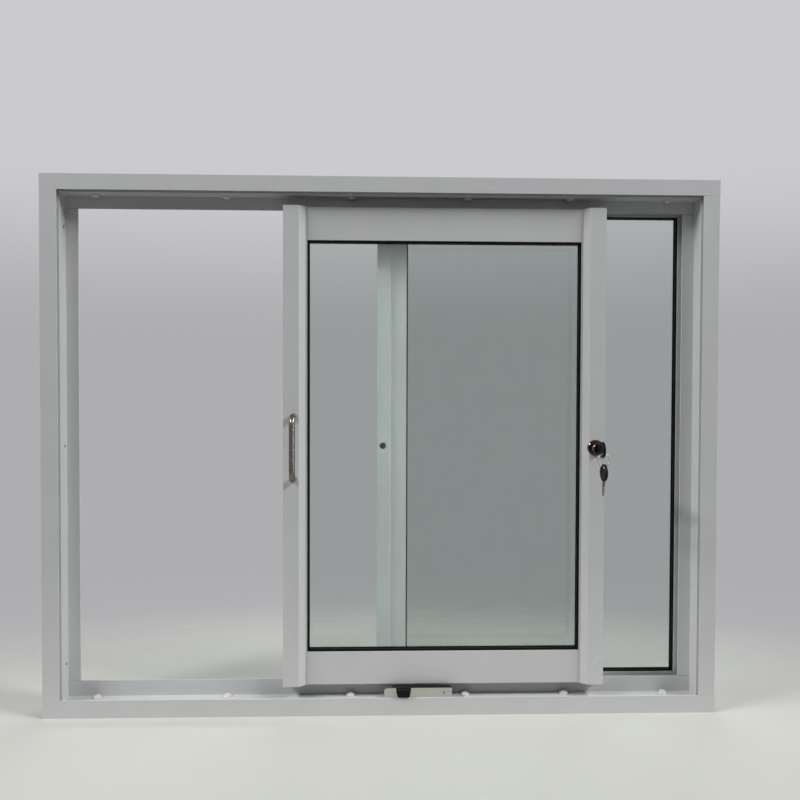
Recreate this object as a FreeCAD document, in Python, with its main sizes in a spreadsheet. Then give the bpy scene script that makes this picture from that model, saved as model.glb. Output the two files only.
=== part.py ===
# Horizontal sliding window: a white aluminium frame with one sliding sash in front
# of one fixed pane. Millimetres, +Z up, the front looks along -Y.
# The origin is the middle of the sill's underside, which the window stands on.
# Depths are counted backward from the frame's front face.
import FreeCAD
import Part
import math
import os
import Sketcher

doc = FreeCAD.newDocument("SlidingWindow")
sheet = doc.addObject("Spreadsheet::Sheet", "Sizes")
size_rows = []
pieces = []


def size(alias, amount):
    """Writes one driving dimension into the sheet and returns how expressions name it."""
    size_rows.append(alias)
    row = len(size_rows)
    sheet.set(f"A{row}", alias)
    sheet.set(f"B{row}", str(amount))
    sheet.setAlias(f"B{row}", alias)
    return f"Sizes.{alias}"


# Outer frame: a hollow base, a front face, a track fin and a low rear leg. The jambs and the head
# also have a hollow shelf in their front channel, set back behind the face.
# A cut starts and ends a little past the faces that it opens, and a pin has a little room.
frame_width = size("frame_width", 900)
frame_height = size("frame_height", 718)
frame_depth = size("frame_depth", 62)
frame_wall = size("frame_wall", 1.6)
face_wall = size("face_wall", 1.8)
floor_rise = size("floor_rise", 18.5)
head_shelf = size("head_shelf", 22.4)
jamb_shelf = size("jamb_shelf", 23)
shelf_setback = size("shelf_setback", 6.8)
shelf_wall = size("shelf_wall", 1.2)
fin_gap = size("fin_gap", 0.4)
head_face = size("head_face", 20.5)
sill_face = size("sill_face", 23.5)
jamb_face = size("jamb_face", 22)
track_setback = size("track_setback", 30)
track_wall = size("track_wall", 2)
track_rise = size("track_rise", 39.5)
leg_wall = size("leg_wall", 1.8)
leg_rise = size("leg_rise", 28)
cut_past = size("cut_past", 1)
pin_room = size("pin_room", 0.05)

# Screw caps in the channel and open screw holes in the left jamb
cap_width = size("cap_width", 12.4)
cap_dome = size("cap_dome", 3.3)
cap_brim = size("cap_brim", 1.3)
cap_setback = size("cap_setback", 23.5)
cap_shank = size("cap_shank", 5)
screw_hole = size("screw_hole", 5)
jamb_hole_setback = size("jamb_hole_setback", 23.7)
jamb_hole_end = size("jamb_hole_end", 65)

# Sliding sash: grooved stiles that stand proud of the rails
sash_start = size("sash_start", -134)
sash_width = size("sash_width", 433.3)
sash_end_gap = size("sash_end_gap", 36.5)
sash_wall = size("sash_wall", 1.6)
stile_setback = size("stile_setback", 8)
stile_flat = size("stile_flat", 21)
stile_bevel = size("stile_bevel", 8.5)
bevel_shift = size("bevel_shift", 0.8)
bevel_drop = size("bevel_drop", 0.5)
rail_setback = size("rail_setback", 15)
rail_drop = size("rail_drop", 0.5)
rail_rise = size("rail_rise", 44.7)
glazing_lip = size("glazing_lip", 2.2)
pocket_deep = size("pocket_deep", 5.5)
sash_back = size("sash_back", 36)
track_room = size("track_room", 2.4)
stile_groove = size("stile_groove", 17)
rail_groove = size("rail_groove", 24)

# Glass and its black gaskets, with a narrower edge in view at the fixed pane
glass_thick = size("glass_thick", 5)
gasket_front = size("gasket_front", 4.9)
gasket_rear = size("gasket_rear", 2)
gasket_show = size("gasket_show", 2.8)
pane_gasket_show = size("pane_gasket_show", 1.9)
gasket_web = size("gasket_web", 0.9)
pocket_room = size("pocket_room", 0.3)

# Fixed pane: a narrow frame behind the track, with the interlock stile at its left
pane_setback = size("pane_setback", 42)
pane_rise = size("pane_rise", 23)
pane_wall = size("pane_wall", 1.6)
pane_back_wall = size("pane_back_wall", 1.6)
interlock_start = size("interlock_start", -8.6)
interlock_leg = size("interlock_leg", 18.2)
interlock_leg_setback = size("interlock_leg_setback", 38)
interlock_width = size("interlock_width", 40.5)

# Rollers under the sash and guides over it
roller_width = size("roller_width", 4)
roller_radius = size("roller_radius", 8)
roller_groove = size("roller_groove", 1.2)
roller_axle = size("roller_axle", 3)
roller_plate = size("roller_plate", 1)
roller_inset = size("roller_inset", 70)
roller_bracket = size("roller_bracket", 34)
running_gap = size("running_gap", 0.3)
guide_length = size("guide_length", 32)
guide_height = size("guide_height", 16)

# Bow handle on the left stile
handle_inset = size("handle_inset", 14.2)
handle_rod = size("handle_rod", 8)
handle_length = size("handle_length", 92)
handle_reach = size("handle_reach", 26)
handle_bend = size("handle_bend", 12)

# Push lock on the right stile, with its keys
lock_inset = size("lock_inset", 13.3)
rose_width = size("rose_width", 21.5)
rose_thick = size("rose_thick", 4)
rose_chamfer = size("rose_chamfer", 1.2)
barrel_width = size("barrel_width", 18.6)
barrel_length = size("barrel_length", 16)
core_width = size("core_width", 15)
core_proud = size("core_proud", 18.7)
core_room = size("core_room", 0.4)
core_chamfer = size("core_chamfer", 0.8)
core_web = size("core_web", 4)
bolt_chamfer = size("bolt_chamfer", 1)
bolt_width = size("bolt_width", 7.4)
bolt_room = size("bolt_room", 0.6)
bolt_hole = size("bolt_hole", 9)
bolt_inset = size("bolt_inset", 8.1)
core_length = size("core_length", 26.7)
bolt_tip = size("bolt_tip", 33.2)

# Sill latch in the front channel
latch_start = size("latch_start", 2)
latch_length = size("latch_length", 91)
latch_wall = size("latch_wall", 1.4)
latch_corner = size("latch_corner", 4.2)
latch_top = size("latch_top", 35.9)
latch_width = size("latch_width", 13)
latch_rear_top = size("latch_rear_top", 30)
lever_inset = size("lever_inset", 11.4)
lever_top = size("lever_top", 35.6)
lever_thick = size("lever_thick", 8.4)
lever_room = size("lever_room", 0.3)
lever_end_room = size("lever_end_room", 0.6)
lever_chamfer = size("lever_chamfer", 1.8)
lever_nose = size("lever_nose", 1)
latch_pin_inset = size("latch_pin_inset", 10.8)
latch_pin_rise = size("latch_pin_rise", 29.8)
latch_pin_width = size("latch_pin_width", 3)
notch_start = size("notch_start", 19.4)
notch_width = size("notch_width", 17.2)
notch_taper = size("notch_taper", 1.7)
tab_reach = size("tab_reach", 2.4)
tab_low = size("tab_low", 25.4)
tab_room = size("tab_room", 0.7)
tab_drop = size("tab_drop", 0.6)

# Where the six caps stand, as shares of the frame's width, spaced as unevenly as they are drilled
SILL_CAPS = (0.071, 0.2657, 0.4514, 0.6258, 0.7772, 0.9303)
HEAD_CAPS = (0.072, 0.2659, 0.4522, 0.6263, 0.781, 0.9313)

# Keys: a black bow and a flat blade each, joined by a wire ring
bow_length = size("bow_length", 22.5)
bow_height = size("bow_height", 21.4)
bow_thick = size("bow_thick", 3.2)
bow_end_radius = size("bow_end_radius", 9.4)
bow_edge = size("bow_edge", 0.6)
bow_rim = size("bow_rim", 1.6)
bow_recess = size("bow_recess", 0.3)
bow_slot_width = size("bow_slot_width", 4.2)
bow_slot_height = size("bow_slot_height", 11)
bow_slot_inset = size("bow_slot_inset", 4.2)
bow_standoff = size("bow_standoff", 6)
blade_width = size("blade_width", 6)
blade_thick = size("blade_thick", 1.8)
blade_length = size("blade_length", 19.5)
blade_in_bow = size("blade_in_bow", 7)
blade_taper = size("blade_taper", 3.6)
blade_point = size("blade_point", 2)
tooth_width = size("tooth_width", 2.8)
tooth_depth = size("tooth_depth", 1)
plug_width = size("plug_width", 10)
plug_room = size("plug_room", 0.1)
plug_recess = size("plug_recess", 0.4)
key_room = size("key_room", 0.1)
ring_radius = size("ring_radius", 8)
ring_wire = size("ring_wire", 1.3)
ring_room = size("ring_room", 0.2)
spare_room = size("spare_room", 0.2)
spare_twist = size("spare_twist", 6)
doc.recompute()


def value(reference):
    """The number behind one driving dimension."""
    return float(sheet.get(reference.split(".")[1]))


front_face = f"-{frame_depth} / 2"
front_face_y = -value(frame_depth) / 2


def new_body(name):
    """A body whose label names its file, with its depths counted from the front face."""
    body = doc.addObject("PartDesign::Body", name)
    body.Label = name
    body.setExpression("Placement.Base.y", front_face)
    pieces.append(body)
    return body


def sketch_on(body, plane, offset):
    """An empty sketch on one of the body's own origin planes, moved along its normal."""
    sketch = body.newObject("Sketcher::SketchObject", "Outline")
    support = [item for item in body.Origin.OriginFeatures if item.Role == plane]
    sketch.AttachmentSupport = (support[0], "")
    sketch.MapMode = "FlatFace"
    sketch.setExpression("AttachmentOffset.Base.z", offset)
    return sketch


def pin_point(sketch, geometry, end, across, along):
    """Ties one point of the sketch to a distance across and along from its origin."""
    for kind, distance in (("DistanceX", across), ("DistanceY", along)):
        index = sketch.addConstraint(Sketcher.Constraint(kind, -1, 1, geometry, end, 1.0))
        sketch.setExpression(f"Constraints[{index}]", distance)


def add_loop(sketch, corners):
    """A closed outline of straight edges through corners given as pairs of expressions."""
    count = len(corners)
    turns = [2 * math.pi * number / count for number in range(count)]
    start = [FreeCAD.Vector(math.cos(turn), math.sin(turn), 0) for turn in turns]
    edges = [Part.LineSegment(start[number], start[(number + 1) % count]) for number in range(count)]
    lines = sketch.addGeometry(edges)
    for number, line in enumerate(lines):
        following = lines[(number + 1) % count]
        sketch.addConstraint(Sketcher.Constraint("Coincident", line, 2, following, 1))
    for line, (across, along) in zip(lines, corners):
        pin_point(sketch, line, 1, across, along)


def add_circle(sketch, across, along, radius):
    """A circle at a place given by expressions."""
    circle = sketch.addGeometry(Part.Circle(FreeCAD.Vector(0, 0, 0), FreeCAD.Vector(0, 0, 1), 1))
    pin_point(sketch, circle, 3, across, along)
    index = sketch.addConstraint(Sketcher.Constraint("Radius", circle, 1.0))
    sketch.setExpression(f"Constraints[{index}]", radius)


def rectangle(low_across, high_across, low_along, high_along):
    """The four corners of an upright rectangle."""
    return [
        (low_across, low_along),
        (high_across, low_along),
        (high_across, high_along),
        (low_across, high_along),
    ]


def pad(body, sketch, length, backward=False):
    """Adds the sketch's outline to the body over a length."""
    feature = body.newObject("PartDesign::Pad", "Pad")
    feature.Profile = sketch
    feature.setExpression("Length", length)
    feature.Reversed = backward
    sketch.Visibility = False
    return feature


def pocket(body, sketch, length, backward=False):
    """Cuts the sketch's outline out of the body over a length."""
    feature = body.newObject("PartDesign::Pocket", "Pocket")
    feature.Profile = sketch
    feature.setExpression("Length", length)
    feature.Reversed = backward
    sketch.Visibility = False
    return feature


# Where each section is measured from: its datum, the way inward, and the sketch plane
SIDES = {
    "sill": ("0", "+", "YZ_Plane"),
    "head": (frame_height, "-", "YZ_Plane"),
    "left_jamb": (f"-{frame_width} / 2", "+", "XY_Plane"),
    "right_jamb": (f"{frame_width} / 2", "-", "XY_Plane"),
    "sash_bottom": (f"{sash_end_gap} + {rail_drop}", "+", "YZ_Plane"),
    "sash_top": (f"{frame_height} - {sash_end_gap} - {rail_drop}", "-", "YZ_Plane"),
    "sash_left": (sash_start, "+", "XY_Plane"),
    "sash_right": (f"{sash_start} + {sash_width}", "-", "XY_Plane"),
    "pane_bottom": (floor_rise, "+", "YZ_Plane"),
    "pane_top": (f"{frame_height} - {floor_rise}", "-", "YZ_Plane"),
    "pane_right": (f"{frame_width} / 2 - {floor_rise}", "-", "XY_Plane"),
    "interlock": (interlock_start, "+", "XY_Plane"),
}


def level(side, inward):
    """The coordinate that lies a distance inward from a side's datum."""
    datum, sign, plane = SIDES[side]
    return f"{datum} {sign} ({inward})"


def run_section(body, side, loops, start, length):
    """Extrudes a section of (inward, depth) corners along one side of a frame."""
    plane = SIDES[side][2]
    sketch = sketch_on(body, plane, start)
    for loop in loops:
        corners = [(level(side, inward), depth) for inward, depth in loop]
        if plane == "YZ_Plane":
            corners = [(depth, height) for height, depth in corners]
        add_loop(sketch, corners)
    return pad(body, sketch, length)


def front_outline(body, loops, depth):
    """A sketch of (across, height) outlines that faces the front at a depth."""
    sketch = sketch_on(body, "XZ_Plane", f"-({depth})")
    for loop in loops:
        add_loop(sketch, loop)
    return sketch


def front_plate(body, loops, depth, thickness):
    """A plate of (across, height) outlines, from its front face at a depth backward."""
    return pad(body, front_outline(body, loops, depth), thickness, backward=True)


def front_cut(body, loops, depth, thickness):
    """A cut of (across, height) outlines, from a depth backward."""
    return pocket(body, front_outline(body, loops, depth), thickness)


def front_hole(body, across, height, radius, depth, thickness):
    """A round hole along the depth."""
    sketch = sketch_on(body, "XZ_Plane", f"-({depth})")
    add_circle(sketch, across, height, radius)
    return pocket(body, sketch, thickness)


# Outer frame


def frame_member(name, side, face, spans, shelf=None):
    """One side of the outer frame: hollow base, front face, track fin, rear leg and often a shelf."""
    body = new_body(name)
    track_back = f"{track_setback} + {track_wall}"
    leg_front = f"{frame_depth} - {leg_wall}"
    ceiling = f"{floor_rise} - {frame_wall}"
    base = [
        ("0", face_wall),
        (frame_wall, face_wall),
        (frame_wall, track_setback),
        (ceiling, track_setback),
        (ceiling, face_wall),
        (floor_rise, face_wall),
        (floor_rise, frame_depth),
        ("0", frame_depth),
    ]
    rear_room = rectangle(frame_wall, ceiling, track_back, leg_front)
    run_section(body, side, [base, rear_room], *spans["base"])
    run_section(body, side, [rectangle("0", face, "0", face_wall)], *spans["face"])
    run_section(body, side, [rectangle(ceiling, track_rise, track_setback, track_back)], *spans["track"])
    run_section(body, side, [rectangle(ceiling, leg_rise, leg_front, frame_depth)], *spans["leg"])
    if shelf:
        solid = rectangle(ceiling, shelf, shelf_setback, track_setback)
        inside = rectangle(
            floor_rise,
            f"{shelf} - {shelf_wall}",
            f"{shelf_setback} + {shelf_wall}",
            f"{track_setback} - {shelf_wall}",
        )
        run_section(body, side, [solid, inside], *spans["shelf"])
    return body


def cap_place(share):
    """How far a screw cap stands from the middle of the window."""
    return f"{frame_width} * ({share} - 0.5)"


def cap_holes(body, start, length, shares):
    """Holes for the shanks of the six caps, upward from a height."""
    sketch = sketch_on(body, "XY_Plane", start)
    for share in shares:
        add_circle(sketch, cap_place(share), cap_setback, f"{cap_shank} / 2")
    pocket(body, sketch, length, backward=True)


full_width = (f"-{frame_width} / 2", frame_width)
between_floors = (f"-{frame_width} / 2 + {floor_rise}", f"{frame_width} - 2 * {floor_rise}")
across_spans = {
    "base": full_width,
    "face": full_width,
    "track": between_floors,
    "leg": between_floors,
    "shelf": between_floors,
}
upright_spans = {
    "base": (floor_rise, f"{frame_height} - 2 * {floor_rise}"),
    "face": (sill_face, f"{frame_height} - {sill_face} - {head_face}"),
    "track": (f"{track_rise} + {fin_gap}", f"{frame_height} - 2 * ({track_rise} + {fin_gap})"),
    "leg": (leg_rise, f"{frame_height} - 2 * {leg_rise}"),
    "shelf": (floor_rise, f"{frame_height} - {floor_rise} - {head_shelf}"),
}
sill = frame_member("frame_sill", "sill", sill_face, across_spans)
head = frame_member("frame_head", "head", head_face, across_spans, head_shelf)
left_jamb = frame_member("frame_jamb_left", "left_jamb", jamb_face, upright_spans, jamb_shelf)
frame_member("frame_jamb_right", "right_jamb", jamb_face, upright_spans, jamb_shelf)
cap_holes(sill, "0", floor_rise, SILL_CAPS)
cap_holes(head, level("head", head_shelf), head_shelf, HEAD_CAPS)

jamb_drill = sketch_on(left_jamb, "YZ_Plane", f"-{frame_width} / 2")
for height in (jamb_hole_end, f"{frame_height} / 2", f"{frame_height} - {jamb_hole_end}"):
    add_circle(jamb_drill, jamb_hole_setback, height, f"{screw_hole} / 2")
pocket(left_jamb, jamb_drill, jamb_shelf, backward=True)


def cap_shape(up):
    """One domed cap on its shank, standing on the channel floor, turned up or down."""
    radius = value(cap_width) / 2
    dome = value(cap_dome)
    brim = value(cap_brim)
    ball = (radius ** 2 + dome ** 2) / (2 * dome)
    ball_middle = FreeCAD.Vector(0, 0, brim + dome - ball)
    lowest = math.degrees(math.asin((ball - dome) / ball))
    cap = Part.makeSphere(ball, ball_middle, FreeCAD.Vector(0, 0, 1), lowest, 90, 360)
    cap = cap.fuse(Part.makeCylinder(radius, brim))
    wall = value(frame_wall)
    shank = Part.makeCylinder(value(cap_shank) / 2, wall, FreeCAD.Vector(0, 0, -wall))
    cap = cap.fuse(shank)
    if not up:
        cap.rotate(FreeCAD.Vector(0, 0, 0), FreeCAD.Vector(1, 0, 0), 180)
    return cap


def cap_row(name, shares, floor_height, up):
    """The six screw caps of the sill or the head."""
    caps = []
    for share in shares:
        cap = cap_shape(up)
        place = value(frame_width) * (share - 0.5)
        cap.translate(FreeCAD.Vector(place, front_face_y + value(cap_setback), floor_height))
        caps.append(cap)
    row = doc.addObject("Part::Feature", name)
    row.Label = name
    row.Shape = Part.makeCompound(caps)
    pieces.append(row)


cap_row("sill_screw_caps", SILL_CAPS, value(floor_rise), True)
cap_row("head_screw_caps", HEAD_CAPS, value(frame_height) - value(head_shelf), False)


# Sliding sash

sash_end = f"{sash_start} + {sash_width}"
sash_low = sash_end_gap
sash_high = f"{frame_height} - {sash_end_gap}"
stile_width = f"{stile_flat} + {stile_bevel}"
lip_edge = f"{stile_width} + {glazing_lip}"
lip_back = f"{rail_setback} + {sash_wall}"
glass_front = f"{lip_back} + {gasket_front}"
glass_back = f"{glass_front} + {glass_thick}"
pocket_back = f"{glass_back} + {gasket_rear}"
rear_lip_back = f"{pocket_back} + {sash_wall}"
groove_front = f"{track_setback} - {track_room}"
groove_back = f"{track_setback} + {track_wall} + {track_room}"
pocket_floor = f"{lip_edge} - {pocket_deep}"


def stile(name, side):
    """A sash stile: flat and bevel in front, glazing pocket inside, track groove outside."""
    body = new_body(name)
    outline = [
        ("0", stile_setback),
        (stile_flat, stile_setback),
        (stile_width, rail_setback),
        (lip_edge, rail_setback),
        (lip_edge, lip_back),
        (pocket_floor, lip_back),
        (pocket_floor, pocket_back),
        (lip_edge, pocket_back),
        (lip_edge, rear_lip_back),
        (stile_width, rear_lip_back),
        (stile_width, sash_back),
        ("0", sash_back),
        ("0", f"{sash_back} - {sash_wall}"),
        (stile_groove, f"{sash_back} - {sash_wall}"),
        (stile_groove, groove_front),
        ("0", groove_front),
    ]
    front_room = [
        (sash_wall, f"{stile_setback} + {sash_wall}"),
        (f"{stile_flat} - {bevel_shift}", f"{stile_setback} + {sash_wall}"),
        (f"{pocket_floor} - {sash_wall}", f"{rail_setback} - {bevel_drop}"),
        (f"{pocket_floor} - {sash_wall}", f"{groove_front} - {sash_wall}"),
        (sash_wall, f"{groove_front} - {sash_wall}"),
    ]
    rear_room = rectangle(
        f"{stile_groove} + {sash_wall}",
        f"{stile_width} - {sash_wall}",
        rear_lip_back,
        f"{sash_back} - {sash_wall}",
    )
    run_section(body, side, [outline, front_room, rear_room], sash_low, f"{sash_high} - {sash_low}")
    return body


def rail(name, side):
    """A sash rail: an open track channel at its edge and a glazing pocket inside."""
    body = new_body(name)
    deck = f"{rail_groove} + {sash_wall}"
    rail_pocket = f"{rail_rise} - {pocket_deep}"
    rear_wall = f"{sash_back} - {sash_wall}"
    rail_back = f"{rail_rise} - {glazing_lip}"
    outline = [
        ("0", rail_setback),
        (rail_rise, rail_setback),
        (rail_rise, lip_back),
        (rail_pocket, lip_back),
        (rail_pocket, pocket_back),
        (rail_rise, pocket_back),
        (rail_rise, rear_lip_back),
        (rail_back, rear_lip_back),
        (rail_back, sash_back),
        ("0", sash_back),
        ("0", rear_wall),
        (rail_groove, rear_wall),
        (rail_groove, lip_back),
        ("0", lip_back),
    ]
    room = [
        (deck, lip_back),
        (f"{rail_pocket} - {sash_wall}", lip_back),
        (f"{rail_pocket} - {sash_wall}", rear_wall),
        (deck, rear_wall),
    ]
    inner_width = f"{sash_width} - 2 * ({lip_edge})"
    run_section(body, side, [outline, room], f"{sash_start} + {lip_edge}", inner_width)
    return body


left_stile = stile("sash_stile_left", "sash_left")
right_stile = stile("sash_stile_right", "sash_right")
bottom_rail = rail("sash_rail_bottom", "sash_bottom")
top_rail = rail("sash_rail_top", "sash_top")

# The stile ends are cut over the sill track and the head track
for member in (left_stile, right_stile):
    for low, high in (
        (f"{sash_low} - {cut_past}", f"{track_rise} + {track_room}"),
        (f"{frame_height} - {track_rise} - {track_room}", f"{sash_high} + {cut_past}"),
    ):
        notch = rectangle(f"{sash_start} - {cut_past}", f"{sash_end} + {cut_past}", low, high)
        front_cut(member, [notch], groove_front, f"{groove_back} - ({groove_front})")


def pane_gasket(name, edges, glass_edges, show_edges, depths):
    """A black ring round a pane: a front bead, a band round the glass edge and a rear bead."""
    body = new_body(name)
    outer = rectangle(*edges)
    glass = rectangle(*glass_edges)
    shown = rectangle(*show_edges)
    front, glass_face, glass_rear, back = depths
    front_plate(body, [outer, shown], front, f"{glass_face} - ({front})")
    front_plate(body, [outer, glass], glass_face, f"{glass_rear} - ({glass_face})")
    front_plate(body, [outer, shown], glass_rear, f"{back} - ({glass_rear})")


def glass_sheet(name, edges, depth):
    """A sheet of clear glass."""
    low_across, high_across, low, high = edges
    sheet_of_glass = doc.addObject("Part::Box", name)
    sheet_of_glass.Label = name
    sheet_of_glass.setExpression("Length", f"{high_across} - ({low_across})")
    sheet_of_glass.setExpression("Width", glass_thick)
    sheet_of_glass.setExpression("Height", f"{high} - ({low})")
    sheet_of_glass.setExpression("Placement.Base.x", low_across)
    sheet_of_glass.setExpression("Placement.Base.y", f"{front_face} + {depth}")
    sheet_of_glass.setExpression("Placement.Base.z", low)
    pieces.append(sheet_of_glass)


def inset_edges(left, right, bottom, top, inset):
    """The edges of a ring that lies a distance inside four limits."""
    return (
        f"{left} + ({inset})",
        f"{right} - ({inset})",
        f"{bottom} + ({inset})",
        f"{top} - ({inset})",
    )


sash_opening = (
    f"{sash_start} + {lip_edge}",
    f"{sash_end} - ({lip_edge})",
    level("sash_bottom", rail_rise),
    level("sash_top", rail_rise),
)
gasket_edge = f"{pocket_room} - {pocket_deep}"
glass_edge = f"{pocket_room} + {gasket_web} - {pocket_deep}"
pane_gasket(
    "sash_gasket",
    inset_edges(*sash_opening, gasket_edge),
    inset_edges(*sash_opening, glass_edge),
    inset_edges(*sash_opening, gasket_show),
    (lip_back, glass_front, glass_back, pocket_back),
)
glass_sheet("sash_glass", inset_edges(*sash_opening, glass_edge), glass_front)


# Fixed pane in the rear of the frame

pane_lip_back = f"{pane_setback} + {pane_wall}"
pane_glass_front = f"{pane_lip_back} + {gasket_front}"
pane_glass_back = f"{pane_glass_front} + {glass_thick}"
pane_pocket_back = f"{pane_glass_back} + {gasket_rear}"
pane_back = f"{pane_pocket_back} + {pane_back_wall}"
pane_pocket = f"{pane_rise} - {pocket_deep}"
pane_low = floor_rise
pane_high = f"{frame_height} - {floor_rise}"
interlock_end = f"{interlock_start} + {interlock_width}"
pane_end = f"{frame_width} / 2 - {floor_rise} - {pane_rise}"


def pane_member(name, side, start, length):
    """One narrow side of the fixed pane's frame."""
    body = new_body(name)
    outline = [
        ("0", pane_setback),
        (pane_rise, pane_setback),
        (pane_rise, pane_lip_back),
        (pane_pocket, pane_lip_back),
        (pane_pocket, pane_pocket_back),
        (pane_rise, pane_pocket_back),
        (pane_rise, pane_back),
        ("0", pane_back),
    ]
    room = rectangle(pane_wall, f"{pane_pocket} - {pane_wall}", pane_lip_back, pane_pocket_back)
    run_section(body, side, [outline, room], start, length)
    return body


pane_member("pane_rail_bottom", "pane_bottom", interlock_end, f"{pane_end} - ({interlock_end})")
pane_member("pane_rail_top", "pane_top", interlock_end, f"{pane_end} - ({interlock_end})")
pane_member("pane_stile_right", "pane_right", pane_low, f"{pane_high} - {pane_low}")

interlock = new_body("pane_interlock_stile")
interlock_pocket = f"{interlock_width} - {pocket_deep}"
interlock_outline = [
    ("0", interlock_leg_setback),
    (interlock_leg, interlock_leg_setback),
    (interlock_leg, pane_setback),
    (interlock_width, pane_setback),
    (interlock_width, pane_lip_back),
    (interlock_pocket, pane_lip_back),
    (interlock_pocket, pane_pocket_back),
    (interlock_width, pane_pocket_back),
    (interlock_width, pane_back),
    ("0", pane_back),
]
interlock_room = [
    (pane_wall, f"{interlock_leg_setback} + {pane_wall}"),
    (f"{interlock_leg} - {pane_wall}", f"{interlock_leg_setback} + {pane_wall}"),
    (f"{interlock_leg} - {pane_wall}", pane_lip_back),
    (f"{interlock_pocket} - {pane_wall}", pane_lip_back),
    (f"{interlock_pocket} - {pane_wall}", pane_pocket_back),
    (pane_wall, pane_pocket_back),
]
run_section(interlock, "interlock", [interlock_outline, interlock_room], pane_low, f"{pane_high} - {pane_low}")
bolt_mouth = f"{interlock_start} + {bolt_inset}"
mouth_front = f"{interlock_leg_setback} - {cut_past}"
mouth_depth = f"{pane_wall} + 2 * {cut_past}"
front_hole(interlock, bolt_mouth, f"{frame_height} / 2", f"{bolt_hole} / 2", mouth_front, mouth_depth)

pane_opening = (
    interlock_end,
    pane_end,
    f"{floor_rise} + {pane_rise}",
    f"{frame_height} - {floor_rise} - {pane_rise}",
)
pane_gasket(
    "pane_gasket",
    inset_edges(*pane_opening, gasket_edge),
    inset_edges(*pane_opening, glass_edge),
    inset_edges(*pane_opening, pane_gasket_show),
    (pane_lip_back, pane_glass_front, pane_glass_back, pane_pocket_back),
)
glass_sheet("pane_glass", inset_edges(*pane_opening, glass_edge), pane_glass_front)


def strip_box(name, boxes):
    """Straight strips that share a node: each a box of low and high (x, y, z) expressions."""
    strips = []
    for number, (low, high) in enumerate(boxes, 1):
        strip = doc.addObject("Part::Box", f"{name}_{number}")
        for axis, length, start, end in zip("xyz", ("Length", "Width", "Height"), low, high):
            datum = front_face if axis == "y" else "0"
            strip.setExpression(length, f"{end} - ({start})")
            strip.setExpression(f"Placement.Base.{axis}", f"{datum} + {start}")
        strips.append(strip)
    row = doc.addObject("Part::Compound", name)
    row.Label = name
    row.Links = strips
    pieces.append(row)
    return row


leg_front = f"{frame_depth} - {leg_wall}"
strip_box(
    "pane_rear_seal",
    [
        (
            (interlock_start, pane_back, floor_rise),
            (f"{frame_width} / 2 - {floor_rise}", leg_front, leg_rise),
        ),
        (
            (interlock_start, pane_back, f"{frame_height} - {leg_rise}"),
            (f"{frame_width} / 2 - {floor_rise}", leg_front, pane_high),
        ),
        (
            (f"{frame_width} / 2 - {leg_rise}", pane_back, leg_rise),
            (f"{frame_width} / 2 - {floor_rise}", leg_front, f"{frame_height} - {leg_rise}"),
        ),
    ],
)


# Rollers and guides inside the sash rails


def turned(name, outline, across, height):
    """A round piece: (depth, radius) corners turned about a line along the depth."""
    body = new_body(name)
    sketch = sketch_on(body, "YZ_Plane", "0")
    add_loop(sketch, outline)
    feature = body.newObject("PartDesign::Revolution", "Turn")
    feature.Profile = sketch
    feature.ReferenceAxis = (sketch, ["H_Axis"])
    feature.Angle = 360
    sketch.Visibility = False
    body.setExpression("Placement.Base.x", across)
    body.setExpression("Placement.Base.z", height)
    return body


track_middle = f"{track_setback} + {track_wall} / 2"
wheel_height = f"{track_rise} + {running_gap} + {roller_radius} - {roller_groove}"
wheel_front = f"{track_middle} - {roller_width} / 2"
wheel_back = f"{track_middle} + {roller_width} / 2"
wheel_groove = f"{track_wall} / 2 + {running_gap}"
axle_front = f"{wheel_front} - {running_gap} - {roller_plate}"
axle_back = f"{sash_back} - {sash_wall}"
deck_height = f"{sash_end_gap} + {rail_drop} + {rail_groove}"
roller_places = (
    ("left", f"{sash_start} + {roller_inset}"),
    ("right", f"{sash_end} - {roller_inset}"),
)
for hand, place in roller_places:
    wheel_bore = f"{roller_axle} / 2 + {pin_room}"
    wheel = [
        (wheel_front, wheel_bore),
        (wheel_front, roller_radius),
        (f"{track_middle} - ({wheel_groove})", roller_radius),
        (f"{track_middle} - ({wheel_groove})", f"{roller_radius} - {roller_groove}"),
        (f"{track_middle} + {wheel_groove}", f"{roller_radius} - {roller_groove}"),
        (f"{track_middle} + {wheel_groove}", roller_radius),
        (wheel_back, roller_radius),
        (wheel_back, wheel_bore),
    ]
    turned(f"roller_wheel_{hand}", wheel, place, wheel_height)
    bracket = new_body(f"roller_bracket_{hand}")
    cheek = rectangle(
        f"{place} - {roller_bracket} / 2",
        f"{place} + {roller_bracket} / 2",
        f"{track_rise} + {running_gap}",
        deck_height,
    )
    roof = rectangle(
        f"{place} - {roller_bracket} / 2",
        f"{place} + {roller_bracket} / 2",
        f"{deck_height} - {roller_plate}",
        deck_height,
    )
    front_plate(bracket, [roof], axle_front, f"{axle_back} - ({axle_front})")
    front_plate(bracket, [cheek], axle_front, roller_plate)
    front_plate(bracket, [cheek], f"{wheel_back} + {running_gap}", f"{axle_back} - ({wheel_back}) - {running_gap}")
    axle = sketch_on(bracket, "XZ_Plane", f"-({axle_front})")
    add_circle(axle, place, wheel_height, f"{roller_axle} / 2")
    pad(bracket, axle, f"{axle_back} - ({axle_front})", backward=True)

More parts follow.
